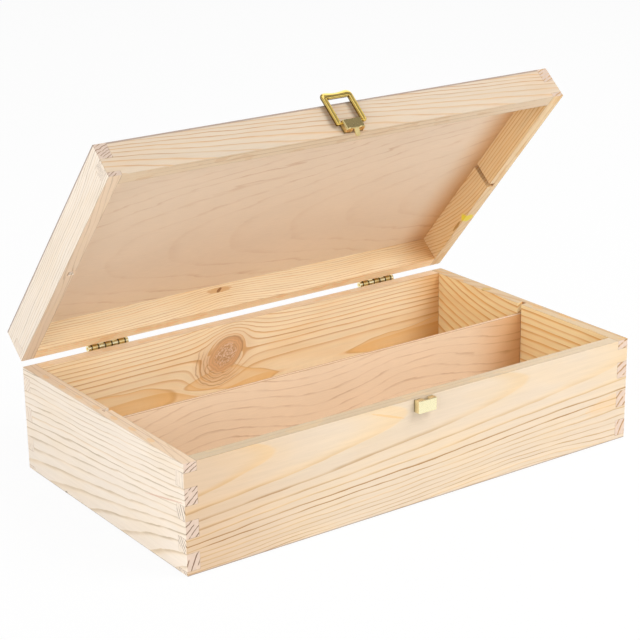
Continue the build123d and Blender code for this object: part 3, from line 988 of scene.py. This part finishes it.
class WINEBOX_OT_hinges(bpy.types.Operator):
    """Leaves, pins and nails of both hinges, with painted shade where one knuckle ends at the
    next.
    """

    bl_idname = "wine_box.hinges"
    bl_label = "Hinges"

    def execute(self, context):
        nail = brass("Nail brass", 0.2, polish=0.06)
        for side in ("left", "right"):
            # painted shade in the gaps between the knuckles
            joints = knuckle_gap_shade(side)
            hinge = {
                "lid_leaf": brass(f"Brass, {side} lid leaf", 0.5, dark=joints),
                "base_leaf": brass(f"Brass, {side} base leaf", 0.3, "pale", joints),
                "pin": nail,
                "base_nails": nail,
                "lid_nails": nail,
            }
            for part, made in hinge.items():
                dress(f"{side}_hinge_{part}", made)
        return {"FINISHED"}


def latch_plates():
    """Keeper on the base and plate on the lid, both folded from sheet."""

    # painted shade on the sides of the sheet next to the wood
    def shade_beside_wood(tree, place):
        return tree.split(place)[1].above(-HALF_DEPTH - 1.0, 0.4) * 0.6

    # painted shade over the plate's face, which leaves its lower fold lighter as a painted
    # highlight, and on the sides next to the wood
    def plate_face_shade(tree, place):
        _, y, z = tree.split(place)
        face = y.below(-HALF_DEPTH - 4.5, 0.2) * z.above(LID_RIM + 1.0, 0.2)
        return (face * 0.42).at_least(shade_beside_wood(tree, place))

    dress("keeper", brass("Keeper brass", 0.05, "pale", shade_beside_wood))
    dress("latch_plate", brass("Latch plate brass", 0.3, dark=plate_face_shade, on_lid=True))


def latch_bar(latch):
    """The bar, and 1 where a point lies deep in its groove, for soil, and low on its flanks, for
    painted shade.

    Distance runs up the left side, round a quarter circle, along the far side, round
    again and down; the heading falls by a quarter turn over each bend, and its sine and
    cosine, summed, give the middle line. The section is a rounded rectangle: half its
    width and half its thickness times a power of the cosine and sine of the angle round
    it. A bell-shaped groove sinks its outer face. Where the heading is level the bar is
    wider, its outer edge is waisted by a squared cosine, and the outer face leans in as a
    lip. Over the last stretch the section shrinks as a quarter ellipse.
    """
    points_along, points_round = 281, 49
    squareness, groove_half, groove_end, rounded_end = 0.65, 0.5, 2.0, 1.2
    half = (latch.width - latch.bar) / 2 / MM
    far_half, bar_half = latch.far_bar / 2 / MM, latch.bar / 2 / MM
    thick, bend, heel = latch.thickness / 2 / MM, latch.bend / MM, latch.heel / MM
    top = latch.reach / MM - far_half
    side, quarter, across = top - bend + heel, bend * pi / 2, 2 * (half - bend)
    run = np.linspace(0, 2 * (side + quarter) + across, points_along)[:, None]
    turned = np.clip((run - side) / quarter, 0, 1)
    turned += np.clip((run - side - quarter - across) / quarter, 0, 1)
    heading = (1 - turned) * pi / 2
    step = run[1] - run[0]
    east, north = np.cos(heading), np.sin(heading)
    x = -half + np.cumsum(east, axis=0) * step - (east + east[0]) / 2 * step
    z = -heel + np.cumsum(north, axis=0) * step - (north + north[0]) / 2 * step
    around = np.linspace(0, 2 * pi, points_round)[None, :-1]
    out, face = np.cos(around), -np.sin(around)
    width = bar_half + (far_half - bar_half) * east
    waist = latch.waist / MM * east * np.cos(pi / 2 * np.clip(x / half, -1, 1)) ** 2
    knob = latch.knob / MM * np.sin(2 * heading) ** 2
    reach = np.where(out > 0, width - waist + knob, width)
    outward = reach * np.sign(out) * np.abs(out) ** squareness
    forward = thick * np.sign(face) * np.abs(face) ** squareness
    from_end = np.minimum(run, run[::-1])
    sunk = np.exp(-((outward / groove_half) ** 2)) * (face > 0) * (1 - 0.5 * east)
    sunk = sunk * np.clip(from_end / groove_end, 0, 1)
    forward = forward - latch.groove / MM * sunk
    outward = outward - latch.lip / MM * east * np.clip(face, 0, 1)
    shrink = np.sqrt(1 - (1 - np.clip(from_end / rounded_end, 0, 1)) ** 2)
    outward, forward = outward * shrink, forward * shrink
    points = [x - north * outward, -forward, z + east * outward]
    # painted shade on the flanks and on the side towards the lid
    flank_shade = np.clip((0.4 - face) / 0.4, 0, 1) * np.clip((face + 0.9) / 0.3, 0, 1)
    return np.stack(points, axis=-1) + np.array(LATCH_PIN), np.maximum(sunk, flank_shade)


def latch_pin(latch, side):
    """A turned pin: a circle carried along X, its radius a quarter ellipse at the ends."""
    points_along, points_round, rounded_end, sunk = 17, 25, 0.2, 0.6
    run = np.linspace(0, 1, points_along)[:, None]
    around = np.linspace(0, 2 * pi, points_round)[None, :-1]
    from_end = np.clip(np.minimum(run, 1 - run) / rounded_end, 0, 1)
    radius = latch.pin / 2 / MM * np.sqrt(1 - (1 - from_end) ** 2)
    root = latch.width / 2 / MM - latch.bar / MM + sunk
    x = side * (root - run * (latch.pin_length / MM)) + 0 * around
    points = np.stack([x, radius * np.cos(around), radius * np.sin(around)], axis=-1)
    return points + np.array(LATCH_PIN)


def latch_frame():
    """Swinging frame of the latch: a beaded bar bent round three sides of a window."""

    # soil in the groove, and painted shade on the bar's flanks
    def groove(tree, place):
        worn = tree.add("ShaderNodeAttribute", attribute_name="groove")
        return tree.signal(worn, "Fac") * 0.85

    made = brass("Latch frame brass", 0.15, "gold", groove, polish=0.10)
    latch = bpy.context.scene.wine_box_latch
    points, sunk = latch_bar(latch)
    pieces = [skin("latch_frame_bar", open_lid(points), made, groove=sunk)]
    for name, side in (("latch_frame_left_pin", -1), ("latch_frame_right_pin", 1)):
        pieces.append(skin(name, open_lid(latch_pin(latch, side)), made))
    for piece in pieces:
        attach(piece, "latch")
    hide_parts("latch_frame")


class WINEBOX_OT_latch(bpy.types.Operator):
    """Latch plates, and the swinging frame drawn again."""

    bl_idname = "wine_box.latch"
    bl_label = "Latch"

    def execute(self, context):
        latch_plates()
        latch_frame()
        return {"FINISHED"}


# ---- Stage

FLOOR_HALF, FLOOR_DROP, FLOOR_GLOW = 6.0, 0.0005, 0.94
AIM = Vector((0, 0, 0.060))
AIM_RIGHT, AIM_UP = -0.006597, 0.032399  # the camera's shift from that line of sight
LAMP_AIM = Vector((0, 0, 0.08))
WHITE = (1.0, 1.0, 1.0)


def floor():
    """White floor that keeps a trace of the box's shadow: to the camera it mostly glows white."""
    made, tree = material("Pale floor")
    shader = coat(tree, (0.9, 0.9, 0.9), 0.9)
    path = tree.add("ShaderNodeLightPath")
    seen = tree.signal(path, "Is Camera Ray").at_least(tree.signal(path, "Is Glossy Ray"))
    white = tree.add("ShaderNodeEmission", {"Color": WHITE, "Strength": 1.0})
    mixed = tree.add("ShaderNodeMixShader", {0: seen.at_most(FLOOR_GLOW)})
    tree.put(mixed.inputs[1], shader.outputs[0])
    tree.put(mixed.inputs[2], white.outputs[0])
    tree.put(made.node_tree.nodes["Material Output"].inputs[0], mixed.outputs[0])
    mesh = bpy.data.meshes.new("floor")
    near, far = -FLOOR_HALF, FLOOR_HALF
    corners = [(near, near), (far, near), (far, far), (near, far)]
    mesh.from_pydata([(*corner, -FLOOR_DROP) for corner in corners], [], [(0, 1, 2, 3)])
    mesh.materials.append(made)
    return new_object("floor", mesh)


def set_camera(scene):
    """Camera as fitted to the corners of the box in the photograph."""
    stage = scene.wine_box_stage
    turn, rise, roll = stage.azimuth, stage.elevation, stage.roll
    back = Vector((sin(turn) * cos(rise), -cos(turn) * cos(rise), sin(rise)))
    level = Vector((cos(turn), sin(turn), 0))
    upright = back.cross(level)
    right = level * cos(roll) + upright * sin(roll)
    up = upright * cos(roll) - level * sin(roll)
    place = AIM + back * stage.distance + right * AIM_RIGHT + up * AIM_UP
    lens = bpy.data.cameras.new("camera")
    lens.lens = stage.lens
    lens.sensor_width = 36
    lens.clip_start = 0.05
    camera = new_object("camera", lens)
    facing = Matrix((right, up, back)).transposed().to_4x4()
    camera.matrix_world = Matrix.Translation(place) @ facing
    scene.camera = camera


def set_light(scene):
    """Four softboxes and a sky that is bright at the horizon and dim overhead."""
    stage = scene.wine_box_stage
    for name, watts, place, size, shows_in_gloss in (
        ("key", stage.key, (-1.5, -0.55, 0.55), 1.2, False),
        ("fill", stage.fill, (0.75, -0.95, 1.2), 1.0, False),
        ("rear", stage.rear, (1.0, 0.9, 1.3), 1.2, True),
        ("high", stage.high, (0, -0.15, 1.7), 1.4, True),
    ):
        lamp = bpy.data.lights.new(f"{name} softbox", "AREA")
        lamp.energy = watts
        lamp.size = size
        softbox = new_object(f"{name} softbox", lamp)
        softbox.location = place
        facing = (LAMP_AIM - Vector(place)).to_track_quat("-Z", "Y")
        softbox.rotation_euler = facing.to_euler()
        softbox.visible_glossy = shows_in_gloss
    world = bpy.data.worlds.new("studio")
    scene.world = world
    world.use_nodes = True
    tree = Tree(world.node_tree)
    rise = tree.split(tree.add("ShaderNodeTexCoord").outputs["Generated"])[2]
    path = tree.add("ShaderNodeLightPath")
    overhead = tree.mix(tree.signal(path, "Is Glossy Ray"), (0.10,) * 3, (0.35,) * 3)
    sky = tree.shade(tree.mix(rise.ramp(0.05, 0.75), WHITE, overhead), stage.sky)
    seen = tree.mix(tree.signal(path, "Is Camera Ray"), sky, WHITE)
    tree.put(world.node_tree.nodes["Background"].inputs["Color"], seen)


class WINEBOX_OT_stage(bpy.types.Operator):
    """Camera, lights, world and floor."""

    bl_idname = "wine_box.stage"
    bl_label = "Stage"

    def execute(self, context):
        set_camera(context.scene)
        set_light(context.scene)
        floor()
        return {"FINISHED"}


class WINEBOX_PT_panel(bpy.types.Panel):
    """Steps of finishing the box, in order."""

    bl_label = "Wine Box"
    bl_idname = "WINEBOX_PT_panel"
    bl_space_type = "VIEW_3D"
    bl_region_type = "UI"
    bl_category = "Wine Box"

    def draw(self, context):
        for operator in OPERATORS:
            self.layout.operator(operator.bl_idname)
        for group in SETTINGS:
            box = self.layout.box()
            settings = getattr(context.scene, group)
            for name in settings.bl_rna.properties.keys():
                if name not in ("rna_type", "name"):
                    box.prop(settings, name)


OPERATORS = (
    WINEBOX_OT_boards,
    WINEBOX_OT_plywood,
    WINEBOX_OT_hinges,
    WINEBOX_OT_latch,
    WINEBOX_OT_stage,
)
SETTINGS = {
    "wine_box_wood": WINEBOX_WoodSettings,
    "wine_box_brass": WINEBOX_BrassSettings,
    "wine_box_latch": WINEBOX_LatchSettings,
    "wine_box_stage": WINEBOX_StageSettings,
}
NODE_GROUPS = (
    make_growth_rings,
    make_knot_flow,
    make_knot_colour,
    make_flat_ring,
    make_mark,
    make_pine_face,
    make_joint_lines,
    make_brass_film,
    make_plywood_face,
)


def register():
    for name, settings in SETTINGS.items():
        bpy.utils.register_class(settings)
        setattr(bpy.types.Scene, name, PointerProperty(type=settings))
    for operator in OPERATORS:
        bpy.utils.register_class(operator)
    bpy.utils.register_class(WINEBOX_PT_panel)


def unregister():
    bpy.utils.unregister_class(WINEBOX_PT_panel)
    for operator in reversed(OPERATORS):
        bpy.utils.unregister_class(operator)
    for name, settings in reversed(SETTINGS.items()):
        delattr(bpy.types.Scene, name)
        bpy.utils.unregister_class(settings)


def main():
    register()
    bpy.context.scene.view_settings.view_transform = "Standard"
    for make_group in NODE_GROUPS:
        make_group()
    for operator in OPERATORS:
        group, name = operator.bl_idname.split(".")
        getattr(getattr(bpy.ops, group), name)()


if __name__ == "__main__":
    main()
